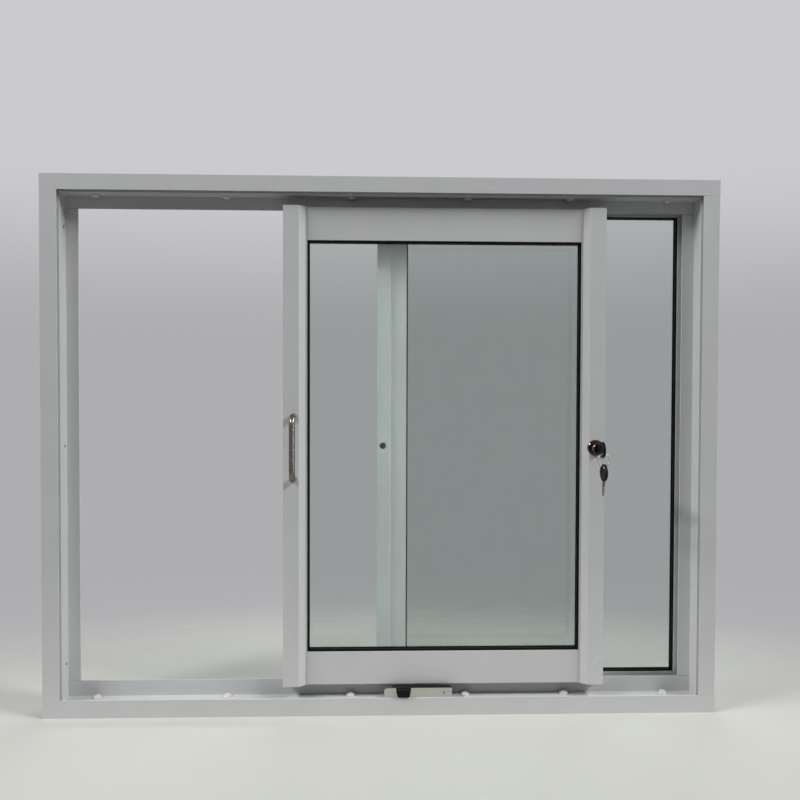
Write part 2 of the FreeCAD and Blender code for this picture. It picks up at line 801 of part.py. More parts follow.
for hand, place in roller_places:
    guide = new_body(f"sash_guide_{hand}")
    block = rectangle(
        f"{place} - {guide_length} / 2",
        f"{place} + {guide_length} / 2",
        f"{sash_high} - {rail_drop} - {guide_height}",
        f"{sash_high} - {rail_drop}",
    )
    slot = rectangle(
        f"{place} - {guide_length} / 2 - {cut_past}",
        f"{place} + {guide_length} / 2 + {cut_past}",
        f"{frame_height} - {track_rise} - {cut_past}",
        f"{sash_high} + {cut_past}",
    )
    front_plate(guide, [block], lip_back, f"{sash_back} - {sash_wall} - ({lip_back})")
    slot_front = f"{track_setback} - {running_gap}"
    front_cut(guide, [slot], slot_front, f"{track_wall} + 2 * {running_gap}")


# Bow handle: a rod with two bends, fixed to the flat of the left stile

handle_across = f"{sash_start} + {handle_inset}"
handle_middle = f"{frame_height} / 2"
handle_axis = f"{stile_setback} - {handle_reach} + {handle_rod} / 2"
bend_depth = f"{handle_axis} + {handle_bend}"
leg_half = f"({handle_length} - {handle_rod}) / 2"
bend_low = f"{handle_middle} - {leg_half} + {handle_bend}"
bend_high = f"{handle_middle} + {leg_half} - {handle_bend}"
to_front = FreeCAD.Vector(0, -1, 0)
upward = FreeCAD.Vector(0, 0, 1)
to_left = FreeCAD.Vector(-1, 0, 0)


def handle_stretch(kind, name, rotation, place):
    """One stretch of the handle's rod, turned and placed."""
    stretch = doc.addObject(kind, name)
    stretch.Placement = FreeCAD.Placement(FreeCAD.Vector(0, 0, 0), rotation)
    across, depth, height = place
    stretch.setExpression("Placement.Base.x", across)
    stretch.setExpression("Placement.Base.y", f"{front_face} + {depth}")
    stretch.setExpression("Placement.Base.z", height)
    return stretch


forward = FreeCAD.Rotation(FreeCAD.Vector(0, 0, 1), to_front)
stretches = []
for name, height in (("low", f"{handle_middle} - {leg_half}"), ("high", f"{handle_middle} + {leg_half}")):
    foot = handle_stretch("Part::Cylinder", f"handle_foot_{name}", forward, (handle_across, stile_setback, height))
    foot.setExpression("Radius", f"{handle_rod} / 2")
    foot.setExpression("Height", f"{stile_setback} - ({bend_depth})")
    stretches.append(foot)
low_turn = FreeCAD.Rotation(-upward, to_front, to_left)
high_turn = FreeCAD.Rotation(to_front, upward, to_left)
for name, turn, height in (("low", low_turn, bend_low), ("high", high_turn, bend_high)):
    bend = handle_stretch("Part::Torus", f"handle_bend_{name}", turn, (handle_across, bend_depth, height))
    bend.setExpression("Radius1", handle_bend)
    bend.setExpression("Radius2", f"{handle_rod} / 2")
    bend.Angle3 = 90
    stretches.append(bend)
grip = handle_stretch("Part::Cylinder", "handle_grip", FreeCAD.Rotation(), (handle_across, handle_axis, bend_low))
grip.setExpression("Radius", f"{handle_rod} / 2")
grip.setExpression("Height", f"{bend_high} - ({bend_low})")
stretches.append(grip)
handle = doc.addObject("Part::MultiFuse", "pull_handle")
handle.Label = "pull_handle"
handle.Shapes = stretches
pieces.append(handle)


# Push lock in the right stile

lock_across = f"{sash_end} - {lock_inset}"
lock_middle = f"{frame_height} / 2"
core_front = f"{stile_setback} - {core_proud}"
core_back = f"{core_front} + {core_length}"
barrel_back = f"{stile_setback} + {barrel_length}"
rose_front = f"{stile_setback} - {rose_thick}"
barrel_bore = f"({core_width} + {core_room}) / 2"
seat_front = f"{stile_setback} - {cut_past}"
seat_depth = f"{rail_setback} - ({seat_front})"
front_hole(right_stile, lock_across, lock_middle, f"{barrel_width} / 2", seat_front, seat_depth)
bolt_bore = f"({bolt_width} + {bolt_room}) / 2"
bore_front = f"{groove_front} - {sash_wall} - {cut_past}"
bore_depth = f"{sash_back} - ({bore_front}) + {cut_past}"
front_hole(right_stile, lock_across, lock_middle, bolt_bore, bore_front, bore_depth)
turned(
    "lock_barrel",
    [
        (rose_front, barrel_bore),
        (rose_front, f"{rose_width} / 2 - {rose_chamfer}"),
        (f"{rose_front} + {rose_chamfer}", f"{rose_width} / 2"),
        (stile_setback, f"{rose_width} / 2"),
        (stile_setback, f"{barrel_width} / 2"),
        (barrel_back, f"{barrel_width} / 2"),
        (barrel_back, barrel_bore),
    ],
    lock_across,
    lock_middle,
)
plug_back = f"{core_back} - {core_web}"
plug_bore = f"{plug_width} / 2 + {plug_room}"
turned(
    "lock_core",
    [
        (core_front, plug_bore),
        (core_front, f"{core_width} / 2 - {core_chamfer}"),
        (f"{core_front} + {core_chamfer}", f"{core_width} / 2"),
        (core_back, f"{core_width} / 2"),
        (core_back, f"{bolt_width} / 2"),
        (f"{bolt_tip} - {bolt_chamfer}", f"{bolt_width} / 2"),
        (bolt_tip, f"{bolt_width} / 2 - {bolt_chamfer}"),
        (bolt_tip, "0"),
        (plug_back, "0"),
        (plug_back, plug_bore),
    ],
    lock_across,
    lock_middle,
)
plug = turned(
    "lock_plug",
    [
        (f"{core_front} + {plug_recess}", "0"),
        (f"{core_front} + {plug_recess}", f"{plug_width} / 2"),
        (f"{plug_back} - {plug_room}", f"{plug_width} / 2"),
        (f"{plug_back} - {plug_room}", "0"),
    ],
    lock_across,
    lock_middle,
)
keyway_half = f"{blade_thick} / 2 + {key_room}"
keyway_reach = f"{blade_width} / 2 + {key_room}"
keyway = rectangle(f"-({keyway_half})", keyway_half, f"-({keyway_reach})", keyway_reach)
front_cut(plug, [keyway], f"{core_front}", f"{core_length}")


# Keys: the first stands in the plug, the spare hangs from it by the ring

bow_back = f"{core_front} - {bow_standoff}"
bow_front = f"{bow_back} - {bow_length}"
slot_depth = f"{bow_front} + {bow_slot_inset}"


def oval_face(inset):
    """The bow's oval of four tangent arcs, drawn in the XY plane and drawn in by an inset."""
    half_length = value(bow_length) / 2 - inset
    half_height = value(bow_height) / 2 - inset
    end_radius = value(bow_end_radius) - inset
    reach = half_length - end_radius
    side_radius = (reach ** 2 + half_height ** 2 - end_radius ** 2) / (2 * (half_height - end_radius))
    share = end_radius / (side_radius - end_radius)
    join_x = reach * (1 + share)
    join_y = (side_radius - half_height) * share
    turns = [(join_x, -join_y), (half_length, 0), (join_x, join_y), (0, half_height)]
    turns += [(-x, -y) for x, y in turns]
    points = [FreeCAD.Vector(x, y, 0) for x, y in turns + turns[:1]]
    arcs = [Part.Arc(*points[first : first + 3]).toShape() for first in (0, 2, 4, 6)]
    return Part.Face(Part.Wire(arcs))


def key_bow_shape():
    """An oval bow in the plane across X, its blade end at the origin and its ring end at -Y."""
    half_length = value(bow_length) / 2
    thick = value(bow_thick)
    upright = FreeCAD.Rotation(FreeCAD.Vector(0, 1, 0), FreeCAD.Vector(0, 0, 1), FreeCAD.Vector(1, 0, 0))
    bow = oval_face(0).extrude(FreeCAD.Vector(0, 0, thick))
    rim = [edge for edge in bow.Edges if edge.Length > 2 * thick]
    bow = bow.makeFillet(value(bow_edge), rim)
    recess = oval_face(value(bow_rim)).extrude(FreeCAD.Vector(0, 0, value(bow_recess)))
    bow = bow.cut(recess)
    recess.translate(FreeCAD.Vector(0, 0, thick - value(bow_recess)))
    bow = bow.cut(recess)
    bow.Placement = FreeCAD.Placement(FreeCAD.Vector(-thick / 2, -half_length, 0), upright)
    slot_y = -value(bow_length) + value(bow_slot_inset)
    slot_radius = value(bow_slot_width) / 2
    slot_reach = value(bow_slot_height) / 2 - slot_radius
    middle = FreeCAD.Vector(-thick, slot_y - slot_radius, -slot_reach)
    bow = bow.cut(Part.makeBox(2 * thick, 2 * slot_radius, 2 * slot_reach, middle))
    for end in (-slot_reach, slot_reach):
        place = FreeCAD.Vector(-thick, slot_y, end)
        bow = bow.cut(Part.makeCylinder(slot_radius, 2 * thick, place, FreeCAD.Vector(1, 0, 0)))
    half_blade = value(blade_thick) / 2
    room_corner = FreeCAD.Vector(-half_blade, -value(blade_in_bow), -value(blade_width) / 2)
    room_length = value(blade_in_bow) + value(cut_past)
    room = Part.makeBox(2 * half_blade, room_length, value(blade_width), room_corner)
    return bow.cut(room)


TOOTH_SHARES = (0.74, 0.56, 0.38)


def key_blade_shape():
    """A flat blade that narrows to its tip, with shallow cuts, its shoulder at the origin."""
    half = value(blade_width) / 2
    length = value(blade_length)
    thick = value(blade_thick)
    taper = value(blade_taper)
    shoulder = -value(blade_in_bow)
    tip_start = length - value(blade_point)
    tooth = value(tooth_width) / 2
    corners = [(shoulder, -half), (tip_start, -half), (length, -taper / 2)]
    corners.append((tip_start, half - taper))
    for share in TOOTH_SHARES:
        middle = share * length
        edge = half - taper * share
        corners += [(middle + tooth, edge), (middle, edge - value(tooth_depth)), (middle - tooth, edge)]
    corners += [(0, half), (shoulder, half)]
    points = [FreeCAD.Vector(-thick / 2, depth, -height) for depth, height in corners]
    face = Part.Face(Part.makePolygon(points + points[:1]))
    return face.extrude(FreeCAD.Vector(thick, 0, 0))


def key_piece(name, shape, placement):
    """A key's bow or blade, at its place."""
    piece = doc.addObject("Part::Feature", name)
    piece.Label = name
    piece.Shape = shape
    piece.Placement = placement
    pieces.append(piece)


lock_x = value(sash_start) + value(sash_width) - value(lock_inset)
lock_z = value(frame_height) / 2
bow_back_y = front_face_y + value(stile_setback) - value(core_proud) - value(bow_standoff)
slot_y = bow_back_y - value(bow_length) + value(bow_slot_inset)
key_place = FreeCAD.Placement(FreeCAD.Vector(lock_x, bow_back_y, lock_z), FreeCAD.Rotation())
key_piece("key_bow", key_bow_shape(), key_place)
key_piece("key_blade", key_blade_shape(), key_place)

# The ring's top wire rests on the lower end of the slot in the bow
ring_drop = f"(({bow_slot_height} - {ring_wire}) / 2 - {ring_room})"
ring = doc.addObject("Part::Torus", "key_ring")
ring.Label = "key_ring"
ring.Placement = FreeCAD.Placement(FreeCAD.Vector(0, 0, 0), forward)
ring.setExpression("Radius1", ring_radius)
ring.setExpression("Radius2", f"{ring_wire} / 2")
ring.setExpression("Placement.Base.x", lock_across)
ring.setExpression("Placement.Base.y", f"{front_face} + {slot_depth}")
ring.setExpression("Placement.Base.z", f"{lock_middle} - {ring_drop} - {ring_radius}")
pieces.append(ring)

# The spare hangs blade down, a little twisted, with its slot over the lowest wire of the ring
hang = FreeCAD.Rotation(FreeCAD.Vector(1, 0, 0), -90)
twist = FreeCAD.Rotation(FreeCAD.Vector(0, 0, 1), value(spare_twist))
spare_turn = twist * hang
top_wire = (value(bow_slot_height) - value(ring_wire)) / 2 - value(ring_room)
low_wire = (value(bow_slot_width) - value(ring_wire)) / 2 - value(spare_room)
slot_drop = top_wire + 2 * value(ring_radius) + low_wire
spare_drop = value(bow_length) - value(bow_slot_inset)
spare_z = lock_z - slot_drop - spare_drop
spare_place = FreeCAD.Placement(FreeCAD.Vector(lock_x, slot_y, spare_z), spare_turn)
key_piece("spare_key_bow", key_bow_shape(), spare_place)
key_piece("spare_key_blade", key_blade_shape(), spare_place)


# Sill latch in the front channel: a folded housing, a black lever and its pin

latch_end = f"{latch_start} + {latch_length}"
latch_front = face_wall
latch_back = f"{face_wall} + {latch_width}"
latch_inside = f"{face_wall} + {latch_wall}"
latch_rear_wall = f"{latch_back} - {latch_wall}"
latch_floor = f"{floor_rise} + {latch_wall}"
pin_across = f"{latch_end} - {latch_pin_inset}"
housing = new_body("latch_housing")
housing_section = sketch_on(housing, "YZ_Plane", latch_start)
add_loop(
    housing_section,
    [
        (latch_front, floor_rise),
        (latch_back, floor_rise),
        (latch_back, latch_rear_top),
        (latch_rear_wall, latch_rear_top),
        (latch_rear_wall, latch_floor),
        (latch_inside, latch_floor),
        (latch_inside, latch_top),
        (latch_front, latch_top),
    ],
)
pad(housing, housing_section, latch_length)
notch_end = f"{notch_start} + {notch_width}"
latch_notch = [
    (notch_start, f"{tab_low} - {tab_room}"),
    (notch_end, f"{tab_low} - {tab_room}"),
    (f"{notch_end} + {notch_taper}", f"{latch_top} + {cut_past}"),
    (f"{notch_start} - {notch_taper}", f"{latch_top} + {cut_past}"),
]
CORNER_TURNS = [math.radians(turn) for turn in (0, 22.5, 45, 67.5, 90)]
corner_cut = []
for turn in CORNER_TURNS:
    across = f"{latch_start} + {latch_corner} * {1 - math.cos(turn)}"
    corner_cut.append((across, f"{latch_top} - {latch_corner} * {1 - math.sin(turn)}"))
corner_cut += [
    (f"{latch_start} + {latch_corner}", f"{latch_top} + {cut_past}"),
    (f"{latch_start} - {cut_past}", f"{latch_top} + {cut_past}"),
    (f"{latch_start} - {cut_past}", f"{latch_top} - {latch_corner}"),
]
front_past = f"{latch_front} - {cut_past}"
front_cut(housing, [latch_notch, corner_cut], front_past, f"{latch_wall} + 2 * {cut_past}")
through = f"{latch_width} + 2 * {cut_past}"
front_hole(housing, pin_across, latch_pin_rise, f"{latch_pin_width} / 2", front_past, through)

lever = new_body("latch_lever")
lever_low = f"{lever_top} - {lever_thick}"
lever_front = f"{latch_inside} + {lever_room}"
lever_back = f"{latch_rear_wall} - {lever_room}"
lever_left = f"{latch_start} + {lever_inset}"
lever_right = f"{latch_end} - {lever_end_room}"
lever_bar = [
    (lever_left, lever_low),
    (f"{lever_right} - {lever_chamfer}", lever_low),
    (lever_right, f"{lever_low} + {lever_chamfer}"),
    (lever_right, lever_top),
    (f"{lever_left} + {lever_nose}", lever_top),
    (lever_left, f"{lever_top} - {lever_nose}"),
]
front_plate(lever, [lever_bar], lever_front, f"{lever_back} - ({lever_front})")
tab_left = f"{notch_start} + {tab_room}"
tab_right = f"{notch_end} - {tab_room}"
thumb_tab = rectangle(tab_left, tab_right, tab_low, f"{lever_top} - {tab_drop}")
front_plate(lever, [thumb_tab], f"-{tab_reach}", f"{lever_front} + {tab_reach} + {cut_past}")
lever_bore = f"{latch_pin_width} / 2 + {pin_room}"
front_hole(lever, pin_across, latch_pin_rise, lever_bore, front_past, through)

pin = doc.addObject("Part::Cylinder", "latch_pin")
pin.Label = "latch_pin"
pin.Placement = FreeCAD.Placement(FreeCAD.Vector(0, 0, 0), FreeCAD.Rotation(FreeCAD.Vector(0, 0, 1), -to_front))
pin.setExpression("Radius", f"{latch_pin_width} / 2")
pin.setExpression("Height", latch_width)
pin.setExpression("Placement.Base.x", pin_across)
pin.setExpression("Placement.Base.y", f"{front_face} + {latch_front}")
pin.setExpression("Placement.Base.z", latch_pin_rise)
pieces.append(pin)


# Export

doc.recompute()
for item in doc.Objects:
    if "Invalid" in item.State or "Error" in item.State:
        raise RuntimeError(f"{item.Name} did not rebuild: {item.State}")
os.makedirs("parts", exist_ok=True)
for piece in pieces:
    if piece.Shape.isNull() or not piece.Shape.isValid():
        raise RuntimeError(f"{piece.Label} has no valid shape")
    piece.Shape.exportStep(f"parts/{piece.Label}.step")
    print(piece.Label, len(piece.Shape.Solids), round(piece.Shape.Volume))
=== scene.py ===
# %% [markdown]
# # A horizontal sliding window, dressed for a render
#
# The window is built elsewhere as exact solids: aluminium extrusions, glass, gaskets, a lock and a
# latch. This script loads those solids as a fixed frame and gives them what a drawing can't show:
# powder coat with its fine orange peel, glass that is faintly green, brushed nickel and soft light.
# Every length is in metres in the frame's own coordinates: +Z is up, the front of the window looks
# along -Y and the origin is the middle of the sill's underside.

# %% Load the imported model
import math

import bmesh
import bpy
from mathutils import Matrix, Vector

MILLIMETRE = 0.001

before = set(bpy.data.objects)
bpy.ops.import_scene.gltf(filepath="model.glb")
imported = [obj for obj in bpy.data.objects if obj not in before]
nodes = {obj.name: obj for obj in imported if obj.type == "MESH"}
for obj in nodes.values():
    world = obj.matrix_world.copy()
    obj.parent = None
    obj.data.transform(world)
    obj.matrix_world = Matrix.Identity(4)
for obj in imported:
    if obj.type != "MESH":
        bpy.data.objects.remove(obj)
scene = bpy.context.scene
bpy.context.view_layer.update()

# %% [markdown]
# ## The camera
#
# A picture taken nearly square on shows little of a thing's depth, so the few lines that do run
# backward have to fall in the right place. This camera stands a metre in front of the window, a
# little above its middle, and is turned by less than two degrees. Its 36 mm lens on a 36 mm sensor
# sees a field as wide as it is far away. It could be dragged into place by eye, but written as a
# place and three angles it can be corrected one number at a time.

# %% Camera
LENS = 36
SENSOR = 36
camera_place = Vector((-10.56, -1093.34, 447.01)) * MILLIMETRE
UP = Vector((0, 0, 1))
yaw = math.radians(1.754)
pitch = math.radians(-1.290)
roll = math.radians(0.171)

ahead = Vector((math.sin(yaw) * math.cos(pitch), math.cos(yaw) * math.cos(pitch), math.sin(pitch)))
level_side = ahead.cross(UP).normalized()
level_top = level_side.cross(ahead)
side = level_side * math.cos(roll) + level_top * math.sin(roll)
top = side.cross(ahead)

lens = bpy.data.cameras.new("camera")
lens.lens = LENS
lens.sensor_width = SENSOR
lens.sensor_fit = "HORIZONTAL"
camera = bpy.data.objects.new("camera", lens)
scene.collection.objects.link(camera)
turn = Matrix((side, top, -ahead)).transposed().to_4x4()
camera.matrix_world = Matrix.Translation(camera_place) @ turn
scene.camera = camera
print("the camera stands", round(-camera_place.y, 2), "m in front")

# %% [markdown]
# ## Colours and nodes
#
# A colour card gives colours as sRGB hex values, while the renderer adds up light in linear
# numbers. One function turns the first into the second. A second function adds one shader node with
# its settings, its values and its links, and every material below is made with it.

# %% Helpers for colour and nodes
NOISE_LOW = 0.2
NOISE_HIGH = 0.8


def linear(hex_colour):
    """An sRGB hex colour as the linear RGBA that a shader takes."""
    channels = [int(hex_colour[place : place + 2], 16) / 255 for place in (1, 3, 5)]
    curve = [c / 12.92 if c <= 0.04045 else ((c + 0.055) / 1.055) ** 2.4 for c in channels]
    return (*curve, 1.0)


def add_node(tree, kind, values=None, links=None, **settings):
    """Adds one node with its settings, its input values and its links from other outputs."""
    node = tree.nodes.new(kind)
    for name, setting in settings.items():
        setattr(node, name, setting)
    for socket, amount in (values or {}).items():
        node.inputs[socket].default_value = amount
    for socket, output in (links or {}).items():
        tree.links.new(output, node.inputs[socket])
    return node


def start_material(name):
    """An empty material, its tree, and coordinates in metres that stay with the piece."""
    material = bpy.data.materials.new(name)
    material.use_nodes = True
    material.node_tree.nodes.clear()
    place = add_node(material.node_tree, "ShaderNodeTexCoord").outputs["Object"]
    return material, material.node_tree, place


def end_material(tree, shader):
    """Shows a shader on the surface."""
    add_node(tree, "ShaderNodeOutputMaterial", links={"Surface": shader})


def grain(tree, place, size_mm, detail=2.0, stretch=(1, 1, 1)):
    """Noise whose patches are about that many millimetres across, longer where stretch is small."""
    scaled = add_node(
        tree, "ShaderNodeVectorMath", {1: stretch}, {0: place}, operation="MULTIPLY"
    )
    noise = add_node(
        tree, "ShaderNodeTexNoise",
        {"Scale": 1 / (size_mm * MILLIMETRE), "Detail": detail, "Roughness": 0.5},
        {"Vector": scaled.outputs["Vector"]},
    )
    return noise.outputs["Fac"]


def spread(tree, pattern, low, high):
    """Stretches the middle of a noise pattern to run from low to high."""
    node = add_node(
        tree, "ShaderNodeMapRange",
        {"From Min": NOISE_LOW, "From Max": NOISE_HIGH, "To Min": low, "To Max": high},
        {"Value": pattern},
    )
    return node.outputs["Result"]


def blend_colours(tree, pattern, first, second):
    """One colour where the pattern is 0 and the other where it is 1."""
    node = add_node(
        tree, "ShaderNodeMix",
        {"A": linear(first), "B": linear(second)}, {"Factor": pattern},
        data_type="RGBA",
    )
    return node.outputs["Result"]


def raise_surface(tree, pattern, height_mm):
    """A normal for bumps of that height."""
    node = add_node(
        tree, "ShaderNodeBump",
        {"Distance": height_mm * MILLIMETRE, "Strength": 1.0}, {"Height": pattern},
    )
    return node.outputs["Normal"]


print("the grey #808080 is", round(linear("#808080")[0], 3), "of white in linear light")

# %% [markdown]
# ## White powder-coated aluminium
#
# The frame, sash and pane members are extruded aluminium with a baked polyester powder coat. The
# powder melts into a skin of about 80 microns that never levels fully and keeps a slight ripple,
# called orange peel, with 2 to 4 mm from crest to crest. The eye meets it only where a light slides
# over the face, as a highlight with a soft, uneven edge. A photograph of such a coat could be laid
# over the faces, but it would show seams at the corners. Two layers of noise have none: the peel
# as bump, and a broad cloud that shifts colour and gloss a little, as handling and dust do.

# %% Powder coat
PEEL_MM = 3.2
PEEL_HEIGHT_MM = 0.008
CLOUD_MM = 55
COAT_IOR = 1.5


def polyester_powder_coat(name, clean, dusty, gloss):
    material, tree, place = start_material(name)
    cloud = grain(tree, place, CLOUD_MM)
    colour = blend_colours(tree, spread(tree, cloud, 0.0, 1.0), clean, dusty)
    roughness = spread(tree, cloud, gloss - 0.03, gloss + 0.04)
    peel = raise_surface(tree, grain(tree, place, PEEL_MM), PEEL_HEIGHT_MM)
    surface = add_node(
        tree, "ShaderNodeBsdfPrincipled", {"IOR": COAT_IOR},
        {"Base Color": colour, "Roughness": roughness, "Normal": peel},
    )
    end_material(tree, surface.outputs["BSDF"])
    return material


white_powder_coat = polyester_powder_coat("white_powder_coat", "#D0D1D2", "#CBCCCD", gloss=0.3)
print("made", white_powder_coat.name)

# %% [markdown]
# ## Moulded and extruded plastics
#
# The window has four plastics: the bright white polypropylene of the screw caps, the natural nylon
# of the rollers and guides, the black ABS of the key bows and the latch lever, and the EPDM rubber
# of the gaskets. They differ in colour, in gloss, in how coarse their skin is and in how much of it
# mirrors at all, so one function makes them all. The two black ones reflect least, since dust and
# handling dull them. A mould's spark-eroded texture is finer than a pixel here, and is drawn at
# 0.6 to 1 mm so that it softens the highlights.

# %% Plastics
HANDLED_PATCH_MM = 14


def moulded_plastic(name, colour, worn, gloss, skin_mm, skin_height_mm, ior=1.49, shine=0.5):
    material, tree, place = start_material(name)
    patches = spread(tree, grain(tree, place, HANDLED_PATCH_MM, detail=4.0), 0.0, 1.0)
    skin = raise_surface(tree, grain(tree, place, skin_mm), skin_height_mm)
    surface = add_node(
        tree, "ShaderNodeBsdfPrincipled", {"IOR": ior, "Specular IOR Level": shine},
        {
            "Base Color": blend_colours(tree, patches, colour, worn),
            "Roughness": spread(tree, patches, gloss - 0.03, gloss + 0.05),
            "Normal": skin,
        },
    )
    end_material(tree, surface.outputs["BSDF"])
    return material


white_polypropylene = moulded_plastic(
    "white_polypropylene", "#D6D7D4", "#CFD0CD", gloss=0.25, skin_mm=1.0, skin_height_mm=0.01
)
natural_nylon = moulded_plastic(
    "natural_nylon", "#DDDBD0", "#CFCDC2", gloss=0.42, skin_mm=0.8, skin_height_mm=0.02, ior=1.53
)
black_abs = moulded_plastic(
    "black_abs", "#0D0E10", "#141517", gloss=0.3, skin_mm=0.6, skin_height_mm=0.02,
    ior=1.54, shine=0.12,
)
epdm_rubber = moulded_plastic(
    "epdm_rubber", "#0C0D0E", "#131415", gloss=0.62, skin_mm=1.0, skin_height_mm=0.04,
    ior=1.52, shine=0.1,
)
print("made four plastics")

# %% [markdown]
# ## Clear float glass
#
# Window glass is floated on molten tin, so both faces are flat as a mirror and need no bump. The
# iron in it takes a little red away, which makes a 5 mm pane faintly green. The tint here is also
# a good deal darker than clear glass is. That grey part is painted shade, and it darkens all that is
# seen through a pane. Light from the lamps would be bent in the glass and arrive as slow, noisy
# caustics, so rays to a lamp pass through a transparent shader of the same tint, painted shade and
# all. Everything that the eye sees still goes through real glass.

# %% Glass
# Faint green from the iron, made darker than clear glass by painted shade.
FLOAT_GLASS_GREEN_AND_SHADE = "#DEE3E0"
FLOAT_GLASS_IOR = 1.52


def float_glass(name, green_and_shade):
    material, tree, _ = start_material(name)
    pane = add_node(
        tree, "ShaderNodeBsdfPrincipled",
        {
            "Base Color": linear(green_and_shade),
            "Roughness": 0.0,
            "IOR": FLOAT_GLASS_IOR,
            "Transmission Weight": 1.0,
        },
    )
    open_air = add_node(tree, "ShaderNodeBsdfTransparent", {"Color": linear(green_and_shade)})
    path = add_node(tree, "ShaderNodeLightPath")
    mix = add_node(
        tree, "ShaderNodeMixShader", None,
        {
            0: path.outputs["Is Shadow Ray"],
            1: pane.outputs["BSDF"],
            2: open_air.outputs["BSDF"],
        },
    )
    end_material(tree, mix.outputs["Shader"])
    return material


clear_float_glass = float_glass("clear_float_glass", FLOAT_GLASS_GREEN_AND_SHADE)
print("made", clear_float_glass.name)

# %% [markdown]
# ## Metals
#
# The handle is satin nickel: brushed, then plated, so its fine lines run along the rod and spread
# a highlight across it. The lock is black nickel, polished before plating, which keeps its few
# reflections small and sharp on a dark brown body. The ring and the roller brackets are plated
# steel, the key blades and the latch pin the same steel worn dull by use, and the latch plate is
# a satin grey metal. An anisotropic shader could spread the highlights too, but it has no lines up
# close. Stretching one noise gives both the lines and their direction. Brushing really leaves
# about ten lines to a millimetre, which is finer than a pixel, so they are drawn 0.5 to 0.8 mm
# apart.

# %% Metals


def plated_metal(name, colour, worn, roughness, line_mm, stretch, line_height_mm):
    material, tree, place = start_material(name)
    lines = grain(tree, place, line_mm, detail=3.0, stretch=stretch)
    surface = add_node(
        tree, "ShaderNodeBsdfPrincipled", {"Metallic": 1.0},
        {
            "Base Color": blend_colours(tree, spread(tree, lines, 0.0, 1.0), colour, worn),
            "Roughness": spread(tree, lines, roughness - 0.05, roughness + 0.06),
            "Normal": raise_surface(tree, lines, line_height_mm),
        },
    )
    end_material(tree, surface.outputs["BSDF"])
    return material


UPRIGHT_LINES = (1, 1, 0.03)
LEVEL_LINES = (0.04, 1, 1)
EVEN_GRAIN = (1, 1, 1)
satin_nickel = plated_metal(
    "satin_nickel", "#7E7772", "#716A65",
    roughness=0.22, line_mm=0.6, stretch=UPRIGHT_LINES, line_height_mm=0.0008,
)
black_nickel = plated_metal(
    "black_nickel", "#5A4E47", "#493F39",
    roughness=0.12, line_mm=0.8, stretch=EVEN_GRAIN, line_height_mm=0.002,
)
plated_steel = plated_metal(
    "plated_steel", "#AFACA6", "#9B9893",
    roughness=0.3, line_mm=0.5, stretch=EVEN_GRAIN, line_height_mm=0.004,
)
worn_steel = plated_metal(
    "worn_steel", "#84817B", "#6F6C67",
    roughness=0.34, line_mm=0.6, stretch=EVEN_GRAIN, line_height_mm=0.006,
)
satin_grey_metal = plated_metal(
    "satin_grey_metal", "#C6C6BF", "#B3B3AC",
    roughness=0.5, line_mm=0.6, stretch=LEVEL_LINES, line_height_mm=0.012,
)
print("made five metals")

# %% [markdown]
# ## Finish every node
#
# A node keeps its mesh, and only its material slot is filled. The members of the frame also get a
# rounded edge, because an extrusion die leaves a radius of about half a millimetre and the coat
# adds to it. A Weld modifier joins the corners that the import split, a Decimate modifier joins
# the triangles of each flat face again, and a Bevel modifier rounds what is sharper than 30
# degrees. Without the middle one, the rounding follows stray edges in the flats and leaves a wavy
# line. Where two members butt, the two roundings make the fine dark seam that such a joint shows.

# %% Materials and edges
EDGE_RADIUS_MM = 0.5
EDGE_SEGMENTS = 2
EDGE_ANGLE = math.radians(30)
FLAT_ANGLE = math.radians(1)
WELD_MM = 0.001


def finish_nodes(material, names, edge_mm=None):
    """Gives each named node one material and, where it is asked for, rounded edges."""
    for name in names:
        piece = nodes[name]
        piece.data.materials.clear()
        piece.data.materials.append(material)
        if edge_mm is None:
            continue
        weld = piece.modifiers.new("weld", "WELD")
        weld.merge_threshold = WELD_MM * MILLIMETRE
        flats = piece.modifiers.new("flats", "DECIMATE")
        flats.decimate_type = "DISSOLVE"
        flats.angle_limit = FLAT_ANGLE
        bevel = piece.modifiers.new("edge", "BEVEL")
        bevel.width = edge_mm * MILLIMETRE
        bevel.segments = EDGE_SEGMENTS
        bevel.limit_method = "ANGLE"
        bevel.angle_limit = EDGE_ANGLE
        bevel.harden_normals = True


members = [name for name in nodes if name.startswith(("frame_", "pane_", "sash_"))]
gaskets = [name for name in members if "gasket" in name or "seal" in name]
panes = [name for name in members if "glass" in name]
guides = [name for name in members if "guide" in name]
extrusions = [name for name in members if name not in gaskets + panes + guides]

finish_nodes(white_powder_coat, extrusions, EDGE_RADIUS_MM)
finish_nodes(epdm_rubber, gaskets)
finish_nodes(clear_float_glass, panes)
finish_nodes(natural_nylon, guides + ["roller_wheel_left", "roller_wheel_right"])
finish_nodes(white_polypropylene, ["sill_screw_caps", "head_screw_caps"])
finish_nodes(satin_nickel, ["pull_handle"])
finish_nodes(black_nickel, ["lock_barrel", "lock_core", "lock_plug"])
finish_nodes(black_abs, ["key_bow", "spare_key_bow", "latch_lever"])
finish_nodes(plated_steel, ["key_ring", "roller_bracket_left", "roller_bracket_right"])
finish_nodes(worn_steel, ["key_blade", "spare_key_blade", "latch_pin"])
finish_nodes(satin_grey_metal, ["latch_housing"])
print("finished", len(nodes), "nodes, of them", len(extrusions), "extrusions")

# %% [markdown]
# ## Floor and backdrop
#
# The window stands on a pale floor. A floor that ran to the horizon would cross the open half of
# the window with a hard line, so it fades out round the window into the colour of the world, as a
# studio's curved paper does. The fade is an oval that is longer along the window than across it,
# so that the backdrop starts low behind the open half. It is worked out from the floor's own
# coordinates, which keeps it in place from every side.

# %% Floor
FLOOR_HALF_WIDTH = 3.0
FADE_START = 0.4
FADE_END = 1.0
FADE_OVAL = (1, 1.8, 1)
FLOOR = "#CBCCC6"
FLOOR_ROUGHNESS = 0.55


